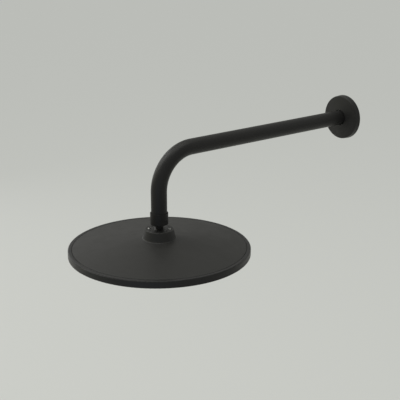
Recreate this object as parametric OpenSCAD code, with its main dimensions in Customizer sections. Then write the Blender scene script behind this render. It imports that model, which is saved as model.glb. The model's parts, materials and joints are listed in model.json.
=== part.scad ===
// Overhead shower head on a bent wall arm, with its wall flange and ball joint.
// Millimetres. The origin is the centre of the wall inlet in the wall's face, +Z is up and the arm
// runs out of the wall along -Y. The head hangs on the drop axis, square to it at rest.

/* [Arm] */
// Outer diameter of the arm tube
tube_d = 22; // [20:0.5:26]
// Wall of the arm tube
tube_wall = 1.5; // [1:0.1:2]
// From the wall to the drop axis
arm_reach = 354; // [250:1:450]
// Radius of the bend at the tube's centre line
bend_r = 55; // [40:1:90]
// From the arm's axis down to the tube's lower end
arm_drop = 85.5; // [70:0.5:200]
// Gap between the wall and the tube's end
wall_gap = 3; // [1:0.5:5]

/* [Threaded nipples] */
// Outer diameter of the pipe thread at both ends
thread_d = 20.955; // [18:0.005:20.955]
// Length of the wall thread beyond the wall's face
wall_thread_l = 12; // [10:0.5:18]
// Length of the thread under the tube for the ball connector
outlet_thread_l = 9; // [8:0.5:10]
// Water bore of both nipples
nipple_bore_d = 14; // [10:0.5:15]
// Length of each nipple inside the tube
nipple_grip = 12; // [8:0.5:20]
// Length of the plain neck between tube and thread
thread_relief_l = 1.5; // [0.5:0.1:2]
// Bevel at the thread's end
thread_bevel = 0.6; // [0.3:0.1:1]

/* [Wall flange] */
// Diameter of the flange at the wall
flange_d = 67; // [55:1:90]
// Height of its side wall
flange_side = 8.4; // [6:0.2:14]
// Rise of its face from the side wall to the arm
flange_rise = 2.8; // [1:0.2:5]
// Inward slope of its side wall over its height
flange_draft = 0.6; // [0:0.1:1.5]
// Thickness of its shell
flange_wall = 1.8; // [1.2:0.1:2.5]
// Radial gap between the arm and the hole in the flange
flange_gap = 0.7; // [0.3:0.1:1.2]
// Wall of the collar that holds the O-ring
collar_wall = 3.4; // [3:0.1:5]
// Length of the collar behind the face
collar_l = 6; // [5:0.2:7.5]
// Cord diameter of the flange O-ring
flange_cord = 2.6; // [2:0.1:2.8]
// Rounding of the flange's outer edge
flange_round = 1.2; // [0.4:0.1:2]
// Rounding of the edge of its hole
hole_round = 0.4; // [0.2:0.1:0.8]

/* [Ball connector] */
// Outer diameter of its round nut
nut_d = 24.8; // [24.4:0.1:28]
// Height of the nut
nut_h = 16.2; // [15.5:0.1:22]
// Depth to which the tube's end sits in the nut
cup_depth = 2; // [1:0.1:3]
// Radial gap round the tube in the nut's mouth
cup_gap = 0.7; // [0.4:0.05:0.9]
// Width across the two spanner flats
flats_w = 22; // [21.8:0.1:24]
// Height of the spanner flats, from the nut's lower face
flats_h = 7.8; // [5:0.1:9]
// Turn of the flats about the drop axis
flats_turn = 6; // [0:1:90]
// Diameter of the neck
neck_d = 11.2; // [10:0.1:11.6]
// From the nut's lower face to the ball's centre
neck_l = 13.7; // [13:0.1:20]
// Diameter of the ball
ball_d = 20; // [19.6:0.1:20.4]
// Water bore through neck and ball
ball_bore_d = 7.2; // [5:0.1:7.4]
// From the ball's centre down to its flat lower end
ball_cut = 9; // [8.6:0.1:9.2]
// Rounding of the nut's lower edge
nut_round = 0.8; // [0.3:0.1:1]
// Rounding of the edge of the nut's mouth
nut_mouth_round = 0.3; // [0.2:0.05:0.4]

/* [Washer, filter and flow limiter] */
// Thickness of the sealing washer
washer_t = 2; // [1.5:0.1:2.5]
// Inner diameter of the washer
washer_bore_d = 13.6; // [12.6:0.1:15]
// Diameter of the filter disc
filter_d = 12.4; // [11.6:0.1:13]
// Thickness of the filter disc
filter_t = 0.8; // [0.6:0.1:1]
// Diameter of the filter's holes
filter_hole_d = 1; // [0.6:0.1:1.2]
// Distance between the filter's holes
filter_pitch = 1.6; // [1.4:0.1:1.7]
// Diameter of the flow limiter
limiter_d = 10.4; // [10:0.1:11]
// Height of the flow limiter
limiter_h = 2.2; // [2:0.1:2.3]
// Water bore of the flow limiter
limiter_bore_d = 4; // [3:0.1:4.4]
// Cord diameter of the limiter's ring
limiter_cord = 1.4; // [1:0.1:1.6]

/* [Ball seats and seal] */
// Cord diameter of the ball seal
seal_cord = 1.78; // [1.6:0.02:1.8]
// Angle at the ball's centre from straight up to the seal
seal_turn = 137; // [135:0.5:139]
// From the ball's centre up to the upper seat's lower face
upper_seat_low = 2; // [1.8:0.1:2.4]
// From the ball's centre up to the upper seat's top face
upper_seat_high = 5.1; // [4.6:0.1:5.2]
// Outer diameter of the upper seat
upper_seat_d = 23; // [22.4:0.1:23.2]
// From the ball's centre down to the lower seat's top face
lower_seat_high = 1.5; // [1.5:0.1:2]
// From the ball's centre down to the lower seat's lower face
lower_seat_low = 4.5; // [3.6:0.1:4.6]

/* [Retaining ring] */
// From the ball's centre up to the ring's top face
ring_up = 6.7; // [6.6:0.1:7]
// Diameter of the ring's opening for the neck
ring_hole_d = 16; // [15.8:0.1:16.4]
// Diameter of the ring's flange
ring_d = 34.6; // [34:0.1:35]
// Thickness of the ring's flange
ring_flange_t = 2; // [1.8:0.1:2.2]
// Rounding of the ring's outer edge
ring_round = 0.4; // [0.2:0.1:0.8]
// Diameter of the ring's body under the flange
ring_body_d = 31.6; // [31:0.1:32]
// Diameter of the circle through screws and tool holes
ring_circle_d = 28; // [27.6:0.1:28.4]
// Number of places on that circle, two of them screws
ring_places = 10; // [6:2:12]
// Turn of the screws about the drop axis
screw_turn = 47; // [0:1:90]
// Diameter of the small tool holes
tool_hole_d = 1.9; // [1.2:0.1:2.4]
// Depth of the small tool holes
tool_hole_depth = 1.3; // [0.6:0.1:1.6]
// Diameter of the pockets round the screw heads
pocket_d = 5.6; // [5:0.1:5.8]
// Depth of the pockets round the screw heads
pocket_depth = 1; // [0.6:0.1:1.2]

/* [Screws] */
// Shank diameter of the ring screws
ring_screw_d = 2.5; // [2:0.1:2.6]
// Head diameter of the ring screws
ring_head_d = 4.4; // [3.8:0.1:4.6]
// Head height of the ring screws
ring_head_h = 1.9; // [1.4:0.1:2.4]
// Length of the ring screws under the head
ring_screw_l = 10; // [8:0.5:14]
// Number of chamber screws
chamber_screws_n = 12; // [8:1:16]
// Shank diameter of the chamber screws
chamber_screw_d = 2; // [1.6:0.1:2.4]
// Head diameter of the chamber screws
chamber_head_d = 3.8; // [3.2:0.1:4.2]
// Head height of the chamber screws
chamber_head_h = 1.2; // [0.9:0.1:1.3]
// Length of the chamber screws under the head
chamber_screw_l = 5; // [4:0.1:5.4]

/* [Top cover] */
// Diameter of the boss at its top
boss_top_d = 39; // [38:0.2:44]
// Diameter of the boss at its base
boss_base_d = 45.4; // [44:0.2:50]
// Height of the boss
boss_h = 13.1; // [11:0.1:16]
// Diameter of the hub's bore in the boss
boss_bore_d = 34.8; // [34.6:0.1:35.4]
// Inner diameter of the shelf under the ring's flange
shelf_d = 32; // [31.8:0.1:32.6]
// Rise of the cover's cone from the rim to the boss
cone_rise = 12.05; // [10:0.05:20]
// Thickness of the cover
cover_wall = 2.5; // [1.8:0.1:2.8]
// Radius of the hollow rounding at the boss's base
boss_fillet = 2; // [1:0.1:4]
// Rounding of the boss's top edge
boss_round = 0.6; // [0.2:0.1:1]
// Width of the skirt under the cover's edge
skirt_w = 2.4; // [1.6:0.1:3]
// Rounding of the edges along the seam
seam_round = 0.3; // [0.2:0.05:0.5]

/* [Face plate] */
// Diameter of the head
head_d = 250; // [240:1:320]
// Height of the side band
band_h = 10; // [9.4:0.2:14]
// Width of the lip round the cover
lip_w = 5.2; // [4:0.1:7]
// Width of the seam between lip and cover
seam_w = 0.5; // [0.3:0.05:0.8]
// Thickness of the face
face_t = 2.2; // [1.8:0.1:2.6]
// Rounding of the band's top edge
band_top_round = 1.4; // [0.6:0.1:2]
// Rounding of the band's lower edge
band_low_round = 1; // [0.5:0.1:1.6]
// Diameter of the circle of screw posts
post_circle_d = 223; // [222:0.5:226]
// Diameter of the screw posts
post_d = 6; // [5:0.1:7]
// Height of the screw posts over the face's inner side
post_h = 3; // [2.6:0.1:3.2]

/* [Nozzle mat] */
// Thickness of the mat
mat_t = 1.5; // [1.2:0.1:1.8]
// Diameter of the mat
mat_d = 208; // [200:1:209]
// Number of rings of nozzles round the middle one
nozzle_rings = 6; // [3:1:7]
// Distance between rings of nozzles
nozzle_pitch = 15; // [12:0.5:16]
// Diameter of a nozzle in the face
nozzle_d = 4; // [3:0.1:4.6]
// Diameter of a nozzle's tip
nozzle_tip_d = 2.4; // [1.8:0.1:2.8]
// Length of a nozzle under the face
nozzle_out = 2; // [1:0.1:3]
// Jet bore of a nozzle
jet_d = 1; // [0.6:0.1:1.2]

/* [Chamber plate] */
// Height of the water chamber over the mat
chamber_h = 2.5; // [2:0.1:2.8]
// Thickness of the chamber plate
plate_t = 2.2; // [1.6:0.1:2.4]
// Outer diameter of the chamber plate's foot
foot_d = 216; // [215:0.5:217]
// Width of the foot
foot_w = 8; // [6:0.2:10]
// Thickness of the flange that takes the screws
screw_flange_t = 1.6; // [1.2:0.1:1.8]
// Diameter of that flange
screw_flange_d = 231; // [230:0.5:233]
// Cord diameter of the chamber O-ring
chamber_cord = 1.78; // [1.4:0.02:2]
// Outer diameter of the hub
hub_d = 34; // [33.6:0.1:34.4]
// From the ball's centre up to the hub's top face
hub_up = 1.5; // [1.4:0.1:1.7]
// Water passage through the hub
passage_d = 12; // [10:0.2:12.6]
// Number of ribs on the chamber plate
ribs_n = 8; // [4:1:12]
// Thickness of the ribs
rib_t = 2; // [1.4:0.1:3]
// Height of the ribs at the hub
rib_h = 5; // [2:0.2:6]
// Distance of the ribs' outer ends from the drop axis
rib_reach = 96; // [60:1:98]

/* [Clearances] */
// Radial gap of pieces that stay fixed in each other
fit_gap = 0.05; // [0.02:0.01:0.1]
// Gap of the ball and other turning pieces in their seats
turn_gap = 0.06; // [0.04:0.01:0.1]
// Gap between flat faces of pieces that turn on each other
face_gap = 0.05; // [0.03:0.01:0.1]

/* [Hidden] */
$fn = 96;

// Spare length of a cutting shape past the face it opens
over = 1;

// Arm
tube_r = tube_d / 2;
bore_r = tube_r - tube_wall;
thread_r = thread_d / 2;

// Heights below the arm's axis, on the drop axis
nut_top = -(arm_drop - cup_depth);
nut_low = nut_top - nut_h;
ball_z = nut_low - neck_l;

// Connector, heights from the nut's lower face
cup_floor = nut_h - cup_depth;
thread_floor = cup_floor - outlet_thread_l - washer_t;
filter_floor = thread_floor - filter_t - fit_gap;
limiter_floor = filter_floor - limiter_h - fit_gap;
nut_r = nut_d / 2;
socket_r = thread_r + fit_gap;

// Ball joint, heights from the ball's centre
ball_r = ball_d / 2;
seat_r = ball_r + turn_gap;
socket_ball_r = ball_r + seal_cord + 2 * turn_gap;
hole_sphere_r = norm([ring_hole_d / 2, ring_up]);
seal_r = ball_r + turn_gap + seal_cord / 2;
seal_shelf = seal_r * cos(seal_turn) - seal_cord / 2 - fit_gap;

// Head, heights from the ball's centre
head_r = head_d / 2;
boss_low = ring_up - boss_h;
rim_up = boss_low - cone_rise;
face_low = rim_up - band_h;
floor_up = face_low + face_t;
mat_up = floor_up + mat_t;
plate_low = mat_up + chamber_h;
plate_up = plate_low + plate_t;
shelf_up = ring_up - ring_flange_t;
lip_r = head_r - lip_w;
cover_r = lip_r - seam_w;
boss_top_r = boss_top_d / 2;
boss_base_r = boss_base_d / 2;
cone_slope = cone_rise / (lip_r - boss_base_r);
cone_drop = cover_wall * norm([1, cone_slope]);
post_up = floor_up + post_h;

// Height of the cover's outer face at radius r
function cone_up(r) = rim_up + (lip_r - r) * cone_slope;

// A solid of revolution about the drop axis with its heights taken from the ball's centre
module on_ball_axis() {
    translate([0, -arm_reach, ball_z]) children();
}

function unit_at(turn) = [cos(turn), sin(turn)];

// A circle of radius r that touches both edges of a corner at p, which leave p at the angles turn_a
// and turn_b: where it touches the first edge, its centre, and where it touches the second
function touching_circle(p, turn_a, turn_b, r) = let (
    half = abs(turn_a - turn_b) / 2,
    middle = unit_at((turn_a + turn_b) / 2)
) [p + r / tan(half) * unit_at(turn_a), p + r / sin(half) * middle, p + r / tan(half) * unit_at(turn_b)];

// What a rounding of radius r takes off the corner at p, reaching out past both edges
module corner_sliver(p, turn_a, turn_b, r) {
    half = abs(turn_a - turn_b) / 2;
    outward = -unit_at((turn_a + turn_b) / 2);
    touch = touching_circle(p, turn_a, turn_b, r);
    difference() {
        polygon([touch[0], touch[1], touch[2], touch[2] + over * outward, p + over / sin(half) * outward,
            touch[0] + over * outward]);
        translate(touch[1]) circle(r);
    }
}

// A ring of round section
module cord_ring(ring_r, cord_d) {
    rotate_extrude() translate([ring_r, 0]) circle(d = cord_d);
}

module square_between(x0, y0, x1, y1) {
    translate([x0, y0]) square([x1 - x0, y1 - y0]);
}

module round_plate(outer_r, low, high) {
    translate([0, 0, low]) cylinder(r = outer_r, h = high - low);
}

module round_hole(hole_r, low, high) {
    translate([0, 0, low - over]) cylinder(r = hole_r, h = high - low + 2 * over);
}

// Flange, heights from the wall's face outward
flange_r = flange_d / 2;
flange_edge_r = flange_r - flange_draft;
flange_hole_r = tube_r + flange_gap;
collar_r = flange_hole_r + collar_wall;
flange_top = flange_side + flange_rise;
collar_low = flange_top - collar_l;
groove_w = flange_cord + 2 * fit_gap;
groove_low = collar_low + (collar_l - groove_w) / 2;
groove_r = tube_r + turn_gap + flange_cord + fit_gap;
flange_face_turn = atan2(flange_rise, flange_edge_r - flange_hole_r);
flange_side_turn = atan2(flange_side, flange_draft);

// Height of the flange's outer face at radius r
function flange_face(r) = flange_side + (flange_edge_r - r) * tan(flange_face_turn);

module wall_flange() {
    inner_r = flange_edge_r - flange_wall;
    color("#3a3a39") rotate([90, 0, 0]) rotate_extrude() difference() {
        polygon([
            [flange_hole_r, collar_low], [collar_r, collar_low],
            [collar_r, flange_face(collar_r) - flange_wall],
            [inner_r, flange_face(inner_r) - flange_wall],
            [flange_r - flange_wall, 0], [flange_r, 0], [flange_edge_r, flange_side],
            [flange_hole_r, flange_top]
        ]);
        corner_sliver([flange_edge_r, flange_side], 180 - flange_face_turn, 360 - flange_side_turn,
            flange_round);
        corner_sliver([flange_hole_r, flange_top], 270, 360 - flange_face_turn, hole_round);
        square_between(flange_hole_r - over, groove_low, groove_r, groove_low + groove_w);
    }
}

module flange_o_ring() {
    color("#1b1b1b") translate([0, -(groove_low + groove_w / 2), 0]) rotate([90, 0, 0])
        cord_ring(tube_r + turn_gap + flange_cord / 2, flange_cord);
}

// One run of pipe along the arm's path with the given radius
module arm_run(r, start, extra) {
    straight = arm_reach - bend_r;
    translate([0, -start, 0]) rotate([90, 0, 0]) cylinder(r = r, h = straight - start);
    translate([0, -straight, -bend_r]) rotate([0, -90, 180])
        rotate_extrude(angle = 90) translate([bend_r, 0]) circle(r);
    translate([0, -arm_reach, -arm_drop - extra]) cylinder(r = r, h = arm_drop + extra - bend_r);
}

module shower_arm() {
    color("#353534") difference() {
        arm_run(tube_r, wall_gap, 0);
        arm_run(bore_r, wall_gap - over, over);
    }
}

// A nipple with its thread upward from the tube's end at height 0
module nipple(thread_l) {
    bevel_low = thread_l - thread_bevel;
    difference() {
        union() {
            translate([0, 0, -nipple_grip])
                cylinder(r = bore_r - fit_gap, h = nipple_grip + thread_relief_l);
            translate([0, 0, thread_relief_l]) cylinder(r = thread_r, h = bevel_low - thread_relief_l);
            translate([0, 0, bevel_low])
                cylinder(r1 = thread_r, r2 = thread_r - thread_bevel, h = thread_bevel);
        }
        round_hole(nipple_bore_d / 2, -nipple_grip, thread_l);
    }
}

module inlet_nipple() {
    color("#b08d4a") translate([0, -wall_gap, 0]) rotate([-90, 0, 0]) nipple(wall_thread_l + wall_gap);
}

module outlet_nipple() {
    color("#b08d4a") translate([0, -arm_reach, -arm_drop]) rotate([180, 0, 0]) nipple(outlet_thread_l);
}

module ball_connector() {
    cup_r = tube_r + cup_gap;
    neck_r = neck_d / 2;
    color("#2f2f2e") translate([0, -arm_reach, nut_low]) difference() {
        union() {
            rotate_extrude() difference() {
                square([nut_r, nut_h]);
                corner_sliver([nut_r, 0], 90, 180, nut_round);
                corner_sliver([nut_r, nut_h], 180, 270, nut_mouth_round);
            }
            translate([0, 0, -neck_l]) cylinder(r = neck_r, h = neck_l + over);
            translate([0, 0, -neck_l]) sphere(ball_r);
        }
        round_hole(ball_bore_d / 2, -neck_l - ball_r, nut_h);
        translate([0, 0, cup_floor]) cylinder(r = cup_r, h = cup_depth + over);
        translate([0, 0, thread_floor]) cylinder(r = socket_r, h = cup_floor - thread_floor + over);
        translate([0, 0, filter_floor])
            cylinder(r = filter_d / 2 + fit_gap, h = thread_floor - filter_floor + over);
        translate([0, 0, limiter_floor])
            cylinder(r = limiter_d / 2 + fit_gap, h = filter_floor - limiter_floor + over);
        translate([0, 0, -neck_l - ball_cut - ball_r]) cylinder(r = ball_r, h = ball_r);
        for (side = [0, 180]) rotate([0, 0, flats_turn + side])
            translate([flats_w / 2, -nut_r, -over]) cube([nut_r, 2 * nut_r, flats_h + over]);
    }
}

module sealing_washer() {
    color("#1b1b1b") translate([0, -arm_reach, nut_low]) difference() {
        round_plate(socket_r - fit_gap, thread_floor, thread_floor + washer_t);
        round_hole(washer_bore_d / 2, thread_floor, thread_floor + washer_t);
    }
}

// The mesh of the filter is finer than its frame, so the disc carries a coarse grid of round holes
module filter_disc() {
    reach = 3;
    color("#a9abab") translate([0, -arm_reach, nut_low]) difference() {
        round_plate(filter_d / 2, filter_floor + fit_gap, filter_floor + fit_gap + filter_t);
        for (i = [-reach:reach], j = [-reach:reach])
            if (norm([i, j]) <= reach) translate([i * filter_pitch, j * filter_pitch, 0])
                round_hole(filter_hole_d / 2, filter_floor, thread_floor);
    }
}

// A cage whose stepped bore holds a soft ring that swells with pressure
module flow_limiter() {
    low = limiter_floor + fit_gap;
    bore_r = limiter_bore_d / 2;
    color("#5f7f8f") translate([0, -arm_reach, nut_low]) difference() {
        round_plate(limiter_d / 2, low, low + limiter_h);
        round_hole(bore_r, low, low + limiter_h);
        translate([0, 0, low + limiter_h - limiter_cord - fit_gap])
            cylinder(r = bore_r + limiter_cord, h = limiter_cord + over);
    }
}

module limiter_ring() {
    top = limiter_floor + fit_gap + limiter_h;
    color("#1b1b1b") translate([0, -arm_reach, nut_low + top - limiter_cord / 2])
        cord_ring((limiter_bore_d + limiter_cord) / 2 - fit_gap, limiter_cord);
}

// Floating ring round the ball's lower half, spherical inside and outside
module lower_ball_seat() {
    outer_r = socket_ball_r - turn_gap;
    color("#d9d7cf") on_ball_axis() difference() {
        intersection() {
            sphere(outer_r);
            round_plate(outer_r, -lower_seat_low, -lower_seat_high);
        }
        sphere(seat_r);
    }
}

// Ring between the ball's upper half and the retaining ring; the head hangs on it
module upper_ball_seat() {
    color("#d9d7cf") on_ball_axis() difference() {
        round_plate(upper_seat_d / 2, upper_seat_low, upper_seat_high);
        sphere(seat_r);
    }
}

module on_ring_circle(n, start) {
    for (i = start) rotate([0, 0, screw_turn + i * 360 / n])
        translate([ring_circle_d / 2, 0, 0]) children();
}

module retaining_ring() {
    half = ring_places / 2;
    color("#333332") on_ball_axis() difference() {
        rotate_extrude() difference() {
            union() {
                translate([0, shelf_up]) square([ring_d / 2, ring_flange_t]);
                translate([0, hub_up]) square([ring_body_d / 2, shelf_up - hub_up]);
            }
            corner_sliver([ring_d / 2, ring_up], 180, 270, ring_round);
        }
        sphere(hole_sphere_r);
        translate([0, 0, hub_up - over])
            cylinder(r = upper_seat_d / 2 + turn_gap, h = upper_seat_high + face_gap - hub_up + over);
        on_ring_circle(2, [0, 1]) {
            round_hole(ring_screw_d / 2 + fit_gap, hub_up, ring_up);
            translate([0, 0, ring_up - pocket_depth]) cylinder(d = pocket_d, h = pocket_depth + over);
        }
        on_ring_circle(ring_places, [for (i = [1:ring_places - 1]) if (i != half) i])
            translate([0, 0, ring_up - tool_hole_depth])
                cylinder(d = tool_hole_d, h = tool_hole_depth + over);
    }
}

// A pan head screw pointing down, its head's underside at height 0
module pan_screw(shank_d, shank_l, head_d, head_h) {
    head_round = head_h * 0.6;
    slot_w = head_d * 0.16;
    slot_l = head_d * 0.55;
    slot_low = head_h * 0.45;
    difference() {
        union() {
            rotate_extrude() difference() {
                square([head_d / 2, head_h]);
                corner_sliver([head_d / 2, head_h], 180, 270, head_round);
            }
            translate([0, 0, -shank_l]) cylinder(d = shank_d, h = shank_l + over / 2);
        }
        for (turn = [0, 90]) rotate([0, 0, turn])
            translate([-slot_l / 2, -slot_w / 2, slot_low]) cube([slot_l, slot_w, head_h]);
    }
}

module retaining_screws() {
    color("#4a4a49") on_ball_axis() on_ring_circle(2, [0, 1])
        translate([0, 0, ring_up - pocket_depth])
            pan_screw(ring_screw_d, ring_screw_l, ring_head_d, ring_head_h);
}

module ball_seal() {
    color("#1b1b1b") on_ball_axis() translate([0, 0, seal_r * cos(seal_turn)])
        cord_ring(seal_r * sin(seal_turn), seal_cord);
}

module top_cover() {
    bore_r = boss_bore_d / 2;
    skirt_r = cover_r - skirt_w;
    boss_turn = atan2(boss_h, boss_top_r - boss_base_r);
    cone_turn = -atan(cone_slope);
    fillet = touching_circle([boss_base_r, boss_low], cone_turn, boss_turn, boss_fillet);
    color("#454543") on_ball_axis() rotate_extrude() difference() {
        polygon([
            [shelf_d / 2, hub_up], [bore_r, hub_up], [bore_r, cone_up(bore_r) - cone_drop],
            [skirt_r, cone_up(skirt_r) - cone_drop], [skirt_r, floor_up], [cover_r, floor_up],
            [cover_r, cone_up(cover_r)], fillet[0], fillet[1], fillet[2], [boss_top_r, ring_up],
            [shelf_d / 2, ring_up]
        ]);
        translate(fillet[1]) circle(boss_fillet);
        square_between(0, shelf_up, ring_d / 2 + fit_gap, ring_up + over);
        corner_sliver([boss_top_r, ring_up], 180, 180 + boss_turn, boss_round);
        corner_sliver([cover_r, cone_up(cover_r)], 180 + cone_turn, 270, seam_round);
    }
}

// Places of the nozzles: one in the middle and six more in each further ring
nozzle_places = concat([[0, 0]], [
    for (ring = [1:nozzle_rings], i = [0:6 * ring - 1])
        ring * nozzle_pitch * [cos(60 * i / ring), sin(60 * i / ring)]
]);

module at_posts() {
    for (i = [0:chamber_screws_n - 1]) rotate([0, 0, i * 360 / chamber_screws_n])
        translate([post_circle_d / 2, 0, 0]) children();
}

module face_plate() {
    color("#2c2c2e") on_ball_axis() difference() {
        union() {
            rotate_extrude() difference() {
                square_between(0, face_low, head_r, rim_up);
                square_between(0, floor_up, lip_r, rim_up + over);
                corner_sliver([head_r, rim_up], 180, 270, band_top_round);
                corner_sliver([head_r, face_low], 90, 180, band_low_round);
                corner_sliver([lip_r, rim_up], 270, 360, seam_round);
            }
            at_posts() round_plate(post_d / 2, floor_up - face_t / 2, post_up);
        }
        for (p = nozzle_places) translate([p[0], p[1], 0])
            round_hole(nozzle_d / 2 + fit_gap, face_low, floor_up);
        at_posts() translate([0, 0, post_up + screw_flange_t - chamber_screw_l - fit_gap])
            cylinder(r = chamber_screw_d / 2 + fit_gap, h = chamber_screw_l + over);
    }
}

module nozzle_mat() {
    color("#4d4d4f") on_ball_axis() difference() {
        union() {
            round_plate(mat_d / 2, floor_up, mat_up);
            for (p = nozzle_places) translate([p[0], p[1], face_low]) {
                cylinder(d = nozzle_d, h = face_t + mat_t / 2);
                translate([0, 0, -nozzle_out]) cylinder(d1 = nozzle_tip_d, d2 = nozzle_d, h = nozzle_out);
            }
        }
        for (p = nozzle_places) translate([p[0], p[1], 0])
            round_hole(jet_d / 2, face_low - nozzle_out, mat_up);
    }
}

module chamber_plate() {
    foot_r = foot_d / 2;
    groove_r = (mat_d / 2 + foot_r) / 2;
    groove_w = chamber_cord + 2 * fit_gap;
    flange_low = post_up;
    color("#8d8f8f") on_ball_axis() difference() {
        union() {
            rotate_extrude() difference() {
                union() {
                    square_between(0, plate_low, foot_r, plate_up);
                    square_between(foot_r - foot_w, floor_up, foot_r, plate_up);
                    square_between(foot_r - foot_w, flange_low, screw_flange_d / 2,
                        flange_low + screw_flange_t);
                    square_between(0, plate_low, hub_d / 2, hub_up);
                }
                square_between(0, floor_up - over, mat_d / 2 + fit_gap, mat_up);
                square_between(groove_r - groove_w / 2, floor_up - over, groove_r + groove_w / 2,
                    floor_up + groove_w);
            }
            for (i = [0:ribs_n - 1]) rotate([90, 0, (i + 0.5) * 360 / ribs_n])
                translate([0, 0, -rib_t / 2]) linear_extrude(rib_t)
                    polygon([
                        [hub_d / 2 - over, plate_up - over], [hub_d / 2 - over, plate_up + rib_h],
                        [rib_reach, plate_up], [rib_reach, plate_up - over]
                    ]);
        }
        intersection() {
            sphere(socket_ball_r);
            round_plate(socket_ball_r, seal_shelf, socket_ball_r);
        }
        round_plate(socket_ball_r, 0, hub_up + over);
        round_hole(passage_d / 2, plate_low, 0);
        at_posts() round_hole(chamber_screw_d / 2 + fit_gap, flange_low, flange_low + screw_flange_t);
        on_ring_circle(2, [0, 1]) translate([0, 0, ring_up - pocket_depth - ring_screw_l - fit_gap])
            cylinder(r = ring_screw_d / 2 + fit_gap, h = ring_screw_l + over);
    }
}

module chamber_o_ring() {
    groove_r = (mat_d / 2 + foot_d / 2) / 2;
    color("#1b1b1b") on_ball_axis() translate([0, 0, floor_up + chamber_cord / 2 + fit_gap])
        cord_ring(groove_r, chamber_cord);
}

module chamber_screws() {
    color("#a9abab") on_ball_axis() at_posts() translate([0, 0, post_up + screw_flange_t])
        pan_screw(chamber_screw_d, chamber_screw_l, chamber_head_d, chamber_head_h);
}

wall_flange();
flange_o_ring();
shower_arm();
inlet_nipple();
outlet_nipple();
ball_connector();
sealing_washer();
filter_disc();
flow_limiter();
limiter_ring();
lower_ball_seat();
upper_ball_seat();
retaining_ring();
retaining_screws();
ball_seal();
top_cover();
face_plate();
nozzle_mat();
chamber_plate();
chamber_o_ring();
chamber_screws();
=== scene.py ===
"""Looks of the overhead shower head: camera, light, finishes and the finest detail, all in metres."""

import json
import math

import bpy
from mathutils import Matrix, Vector

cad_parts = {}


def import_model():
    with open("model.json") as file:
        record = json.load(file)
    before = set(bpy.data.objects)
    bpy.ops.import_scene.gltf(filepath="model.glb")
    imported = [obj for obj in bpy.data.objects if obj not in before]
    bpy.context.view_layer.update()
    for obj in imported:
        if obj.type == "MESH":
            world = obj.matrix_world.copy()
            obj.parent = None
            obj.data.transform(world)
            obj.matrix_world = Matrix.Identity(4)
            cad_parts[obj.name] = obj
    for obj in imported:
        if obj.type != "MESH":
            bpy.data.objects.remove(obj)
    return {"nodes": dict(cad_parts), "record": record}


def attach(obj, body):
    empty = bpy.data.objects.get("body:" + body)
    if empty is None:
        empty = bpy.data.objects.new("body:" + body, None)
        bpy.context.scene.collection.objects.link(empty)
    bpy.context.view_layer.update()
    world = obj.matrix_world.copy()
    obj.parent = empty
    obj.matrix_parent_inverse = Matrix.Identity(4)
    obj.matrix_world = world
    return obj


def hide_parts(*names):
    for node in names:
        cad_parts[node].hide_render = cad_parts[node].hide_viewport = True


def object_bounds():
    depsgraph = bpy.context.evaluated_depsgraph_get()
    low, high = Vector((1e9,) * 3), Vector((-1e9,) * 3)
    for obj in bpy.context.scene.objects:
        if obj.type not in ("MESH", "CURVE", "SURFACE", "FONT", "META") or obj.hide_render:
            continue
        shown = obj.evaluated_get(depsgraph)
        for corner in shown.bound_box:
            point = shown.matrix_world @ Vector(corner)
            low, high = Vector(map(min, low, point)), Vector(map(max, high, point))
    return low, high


MM = 0.001

# Camera, solved from the photograph: its place, its axes in the frame, and its focal length in pixels
PHOTO_SIDE = 400
FOCAL_PIXELS = 926.73
SENSOR_MM = 36.0
CAMERA_PLACE = Vector((0.97070, -1.04394, 0.31886))
CAMERA_RIGHT = Vector((0.616593, 0.787282, 0.000064))
CAMERA_DOWN = Vector((0.242157, -0.189578, -0.951535))

# Wall nipple with its pipe thread, G 1/2
THREAD_PITCH = 1.814 * MM
THREAD_DEPTH = 1.162 * MM
THREAD_MAJOR_R = 20.955 / 2 * MM
THREAD_START = -1.5 * MM
THREAD_END = 12 * MM
THREAD_BEVEL = 0.6 * MM
NIPPLE_START = -15 * MM
NIPPLE_GRIP_R = 9.45 * MM
NIPPLE_BORE_R = 7 * MM
THREAD_STEPS = 14
THREAD_SEGMENTS = 96
SHARP_DEGREES = 40

# Stage
FLOOR_DROP = 0.75
FLOOR_SIDE = 60.0
FLOOR_COLOR = (0.75, 0.755, 0.73)
BACKGROUND_COLOR = (0.575, 0.59, 0.56)
FLOOR_SHADOW_SHARE = 0.3

# Light
WORLD_COLOR = (1.0, 1.0, 0.95)
WORLD_LEVEL = 0.42
LAMP_TARGET = (0, -0.25, -0.05)
# Each lamp's name, place, side, watts and colour
LAMPS = (
    ("key", (-1.3, -1.5, 1.9), 1.5, 20, (1.0, 1.0, 0.98)),
    ("overhead", (-0.1, -0.3, 2.4), 2.2, 18, (1.0, 1.0, 0.94)),
    ("left", (-2.5, -0.4, 0.5), 2.0, 10, (1.0, 1.0, 1.0)),
    ("front_left", (-1.8, -2.0, 0.9), 1.8, 6.8, (1.0, 0.98, 0.7)),
    ("back", (0.4, 2.4, 0.5), 2.0, 2.5, (1.0, 1.0, 0.95)),
    ("low_front", (0.9, -1.5, -0.6), 1.4, 1.2, (0.2, 0.4, 1.0)),
)


def make_camera():
    data = bpy.data.cameras.new("camera")
    data.sensor_fit = "HORIZONTAL"
    data.sensor_width = SENSOR_MM
    data.lens = FOCAL_PIXELS / PHOTO_SIDE * SENSOR_MM
    data.clip_start = 0.01
    data.clip_end = 200
    camera = bpy.data.objects.new("camera", data)
    bpy.context.scene.collection.objects.link(camera)
    right = CAMERA_RIGHT.normalized()
    up = -CAMERA_DOWN.normalized()
    back = right.cross(up)
    turn = Matrix((right, up, back)).transposed()
    camera.matrix_world = Matrix.Translation(CAMERA_PLACE) @ turn.to_4x4()
    bpy.context.scene.camera = camera


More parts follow.
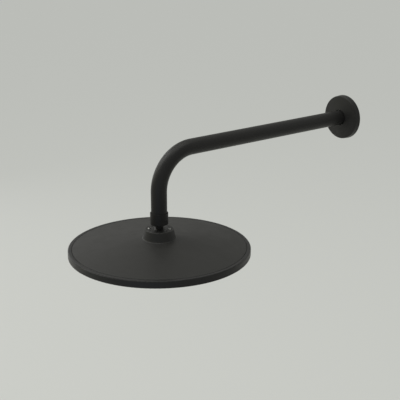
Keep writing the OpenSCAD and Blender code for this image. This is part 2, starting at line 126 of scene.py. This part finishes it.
class Nodes:
    """A short way to write a material's or the world's node tree."""

    def __init__(self, owner):
        owner.use_nodes = True
        self.tree = owner.node_tree
        self.tree.nodes.clear()

    def add(self, kind, inputs=None, **settings):
        node = self.tree.nodes.new(kind)
        for name, value in settings.items():
            setattr(node, name, value)
        for name, value in (inputs or {}).items():
            if isinstance(value, bpy.types.NodeSocket):
                self.tree.links.new(value, node.inputs[name])
            else:
                node.inputs[name].default_value = value
        return node


def object_places(nodes):
    return nodes.add("ShaderNodeTexCoord").outputs["Object"]


def noise(nodes, size, detail=2.0, roughness=0.5):
    """Noise whose blobs are about size metres across."""
    return nodes.add(
        "ShaderNodeTexNoise",
        {"Vector": object_places(nodes), "Scale": 1 / size, "Detail": detail, "Roughness": roughness},
    ).outputs["Fac"]


def between(nodes, factor, low, high):
    """low to high as factor goes over the middle of its range."""
    return nodes.add(
        "ShaderNodeMapRange",
        {"Value": factor, "From Min": 0.3, "From Max": 0.7, "To Min": low, "To Max": high},
    ).outputs["Result"]


def color_between(nodes, factor, low, high):
    mix = nodes.add("ShaderNodeMix", data_type="RGBA")
    nodes.tree.links.new(between(nodes, factor, 0, 1), mix.inputs["Factor"])
    mix.inputs["A"].default_value = (*low, 1)
    mix.inputs["B"].default_value = (*high, 1)
    return mix.outputs["Result"]


def scaled(color, factor):
    return tuple(channel * factor for channel in color)


def grained(name, color, roughness, grain, depth, spread=0.06, rough_spread=0.04, patch=0.02, **sockets):
    """A material with a fine surface grain of the given size and depth, and with colour and roughness that
    wander a little over patches."""
    material = bpy.data.materials.new(name)
    nodes = Nodes(material)
    patches = noise(nodes, patch, 3)
    fine = noise(nodes, grain, 2)
    bump = nodes.add("ShaderNodeBump", {"Height": fine, "Distance": depth, "Strength": 1.0})
    shader = nodes.add(
        "ShaderNodeBsdfPrincipled",
        {
            "Base Color": color_between(nodes, patches, scaled(color, 1 - spread), scaled(color, 1 + spread)),
            "Roughness": between(nodes, patches, roughness - rough_spread, roughness + rough_spread),
            "Normal": bump.outputs["Normal"],
            **sockets,
        },
    )
    nodes.add("ShaderNodeOutputMaterial", {"Surface": shader.outputs["BSDF"]})
    return material


def make_materials():
    for packed in list(bpy.data.materials):
        bpy.data.materials.remove(packed)
    satin = {"Specular IOR Level": 0.28}
    return {
        "black_metal": grained("black_metal", (0.0150, 0.0150, 0.0146), 0.42, 0.35 * MM, 0.012 * MM, **satin),
        "black_connector": grained(
            "black_connector", (0.0125, 0.0125, 0.0122), 0.4, 0.35 * MM, 0.012 * MM, **satin
        ),
        "black_cover": grained("black_cover", (0.0235, 0.0235, 0.0225), 0.5, 0.3 * MM, 0.02 * MM, **satin),
        "black_plastic": grained("black_plastic", (0.013, 0.013, 0.0133), 0.4, 0.3 * MM, 0.015 * MM, **satin),
        "black_screw": grained("black_screw", (0.3, 0.3, 0.29), 0.3, 0.2 * MM, 0.01 * MM, Metallic=1.0),
        "rubber_black": grained("rubber_black", (0.012, 0.012, 0.012), 0.6, 0.2 * MM, 0.01 * MM),
        "silicone_grey": grained("silicone_grey", (0.05, 0.05, 0.052), 0.55, 0.25 * MM, 0.01 * MM),
        "brass": grained("brass", (0.72, 0.5, 0.2), 0.3, 0.15 * MM, 0.006 * MM, Metallic=1.0),
        "steel": grained("steel", (0.56, 0.56, 0.56), 0.3, 0.15 * MM, 0.006 * MM, Metallic=1.0),
        "seat_plastic": grained("seat_plastic", (0.75, 0.74, 0.7), 0.4, 0.3 * MM, 0.01 * MM),
        "limiter_plastic": grained("limiter_plastic", (0.12, 0.22, 0.3), 0.4, 0.3 * MM, 0.01 * MM),
        "inner_plastic": grained("inner_plastic", (0.25, 0.26, 0.26), 0.45, 0.3 * MM, 0.01 * MM),
    }


def dress_nodes(frame, materials):
    for row in frame["record"]["subparts"]:
        node = frame["nodes"][row["node"]]
        material = materials[row["material_slot"]]
        if not node.material_slots:
            node.data.materials.append(material)
        for slot in node.material_slots:
            slot.material = material


def thread_share(place, angle):
    """0 at the thread's root and 1 at its crest, both rounded, on a right-hand helix."""
    phase = place / THREAD_PITCH + angle / (2 * math.pi)
    return 0.5 - 0.5 * math.cos(2 * math.pi * phase)


def thread_radius(place, angle):
    """The thread runs in from the plain neck and ends in a bevel."""
    radius = THREAD_MAJOR_R - THREAD_DEPTH * (1 - thread_share(place, angle))
    run_in = NIPPLE_GRIP_R + (place - THREAD_START)
    bevel = THREAD_MAJOR_R - (place - (THREAD_END - THREAD_BEVEL))
    return min(radius, run_in, bevel)


def plain(radius):
    return lambda place, angle: radius


def add_threaded_nipple(materials):
    """The wall nipple with its real helical thread; places are along +Y from the wall's face."""
    steps = round((THREAD_END - THREAD_START) / THREAD_PITCH * THREAD_STEPS)
    thread_places = [THREAD_START + i * (THREAD_END - THREAD_START) / steps for i in range(steps + 1)]
    rows = [(THREAD_END, plain(NIPPLE_BORE_R)), (NIPPLE_START, plain(NIPPLE_BORE_R))]
    rows += [(NIPPLE_START, plain(NIPPLE_GRIP_R))]
    rows += [(place, thread_radius) for place in thread_places]
    mesh = bpy.data.meshes.new("threaded_nipple")
    points = []
    for place, radius_at in rows:
        for turn in range(THREAD_SEGMENTS):
            angle = 2 * math.pi * turn / THREAD_SEGMENTS
            radius = radius_at(place, angle)
            points.append((radius * math.cos(angle), place, radius * math.sin(angle)))
    faces = []
    for row in range(len(rows)):
        here, there = row * THREAD_SEGMENTS, (row + 1) % len(rows) * THREAD_SEGMENTS
        for turn in range(THREAD_SEGMENTS):
            beside = (turn + 1) % THREAD_SEGMENTS
            faces.append((here + turn, there + turn, there + beside, here + beside))
    mesh.from_pydata(points, [], faces)
    mesh.materials.append(materials["brass"])
    mesh.shade_smooth()
    mesh.set_sharp_from_angle(angle=math.radians(SHARP_DEGREES))
    piece = bpy.data.objects.new("threaded_nipple", mesh)
    bpy.context.scene.collection.objects.link(piece)
    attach(piece, "arm")
    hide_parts("inlet_nipple")


def make_floor(low):
    bpy.ops.mesh.primitive_plane_add(size=FLOOR_SIDE, location=(0, 0, low - FLOOR_DROP))
    floor = bpy.context.object
    floor.name = "floor"
    material = bpy.data.materials.new("floor")
    nodes = Nodes(material)
    lit = nodes.add("ShaderNodeBsdfDiffuse", {"Color": (*FLOOR_COLOR, 1)})
    seen = nodes.add("ShaderNodeEmission", {"Color": (*BACKGROUND_COLOR, 1)})
    path = nodes.add("ShaderNodeLightPath")
    share = nodes.add(
        "ShaderNodeMath", {0: path.outputs["Is Camera Ray"], 1: 1 - FLOOR_SHADOW_SHARE}, operation="MULTIPLY"
    )
    mix = nodes.add("ShaderNodeMixShader", {0: share.outputs[0], 1: lit.outputs[0], 2: seen.outputs[0]})
    nodes.add("ShaderNodeOutputMaterial", {"Surface": mix.outputs["Shader"]})
    floor.data.materials.append(material)


def make_world():
    world = bpy.data.worlds.new("world")
    bpy.context.scene.world = world
    nodes = Nodes(world)
    light = nodes.add("ShaderNodeBackground", {"Color": (*WORLD_COLOR, 1), "Strength": WORLD_LEVEL})
    seen = nodes.add("ShaderNodeBackground", {"Color": (*BACKGROUND_COLOR, 1), "Strength": 1.0})
    path = nodes.add("ShaderNodeLightPath")
    mix = nodes.add(
        "ShaderNodeMixShader", {0: path.outputs["Is Camera Ray"], 1: light.outputs[0], 2: seen.outputs[0]}
    )
    nodes.add("ShaderNodeOutputWorld", {"Surface": mix.outputs["Shader"]})


def make_lamp(name, place, side, watts, color):
    data = bpy.data.lights.new(name, "AREA")
    data.shape = "SQUARE"
    data.size = side
    data.energy = watts
    data.color = color
    lamp = bpy.data.objects.new(name, data)
    lamp.visible_camera = False
    bpy.context.scene.collection.objects.link(lamp)
    lamp.location = place
    lamp.rotation_euler = (Vector(LAMP_TARGET) - Vector(place)).to_track_quat("-Z", "Y").to_euler()


def main():
    scene = bpy.context.scene
    scene.view_settings.view_transform = "Standard"
    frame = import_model()
    cad_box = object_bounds()
    make_camera()
    materials = make_materials()
    dress_nodes(frame, materials)
    add_threaded_nipple(materials)
    make_floor(cad_box[0].z)
    make_world()
    for name, place, side, watts, color in LAMPS:
        make_lamp(name, place, side, watts, color)


main()
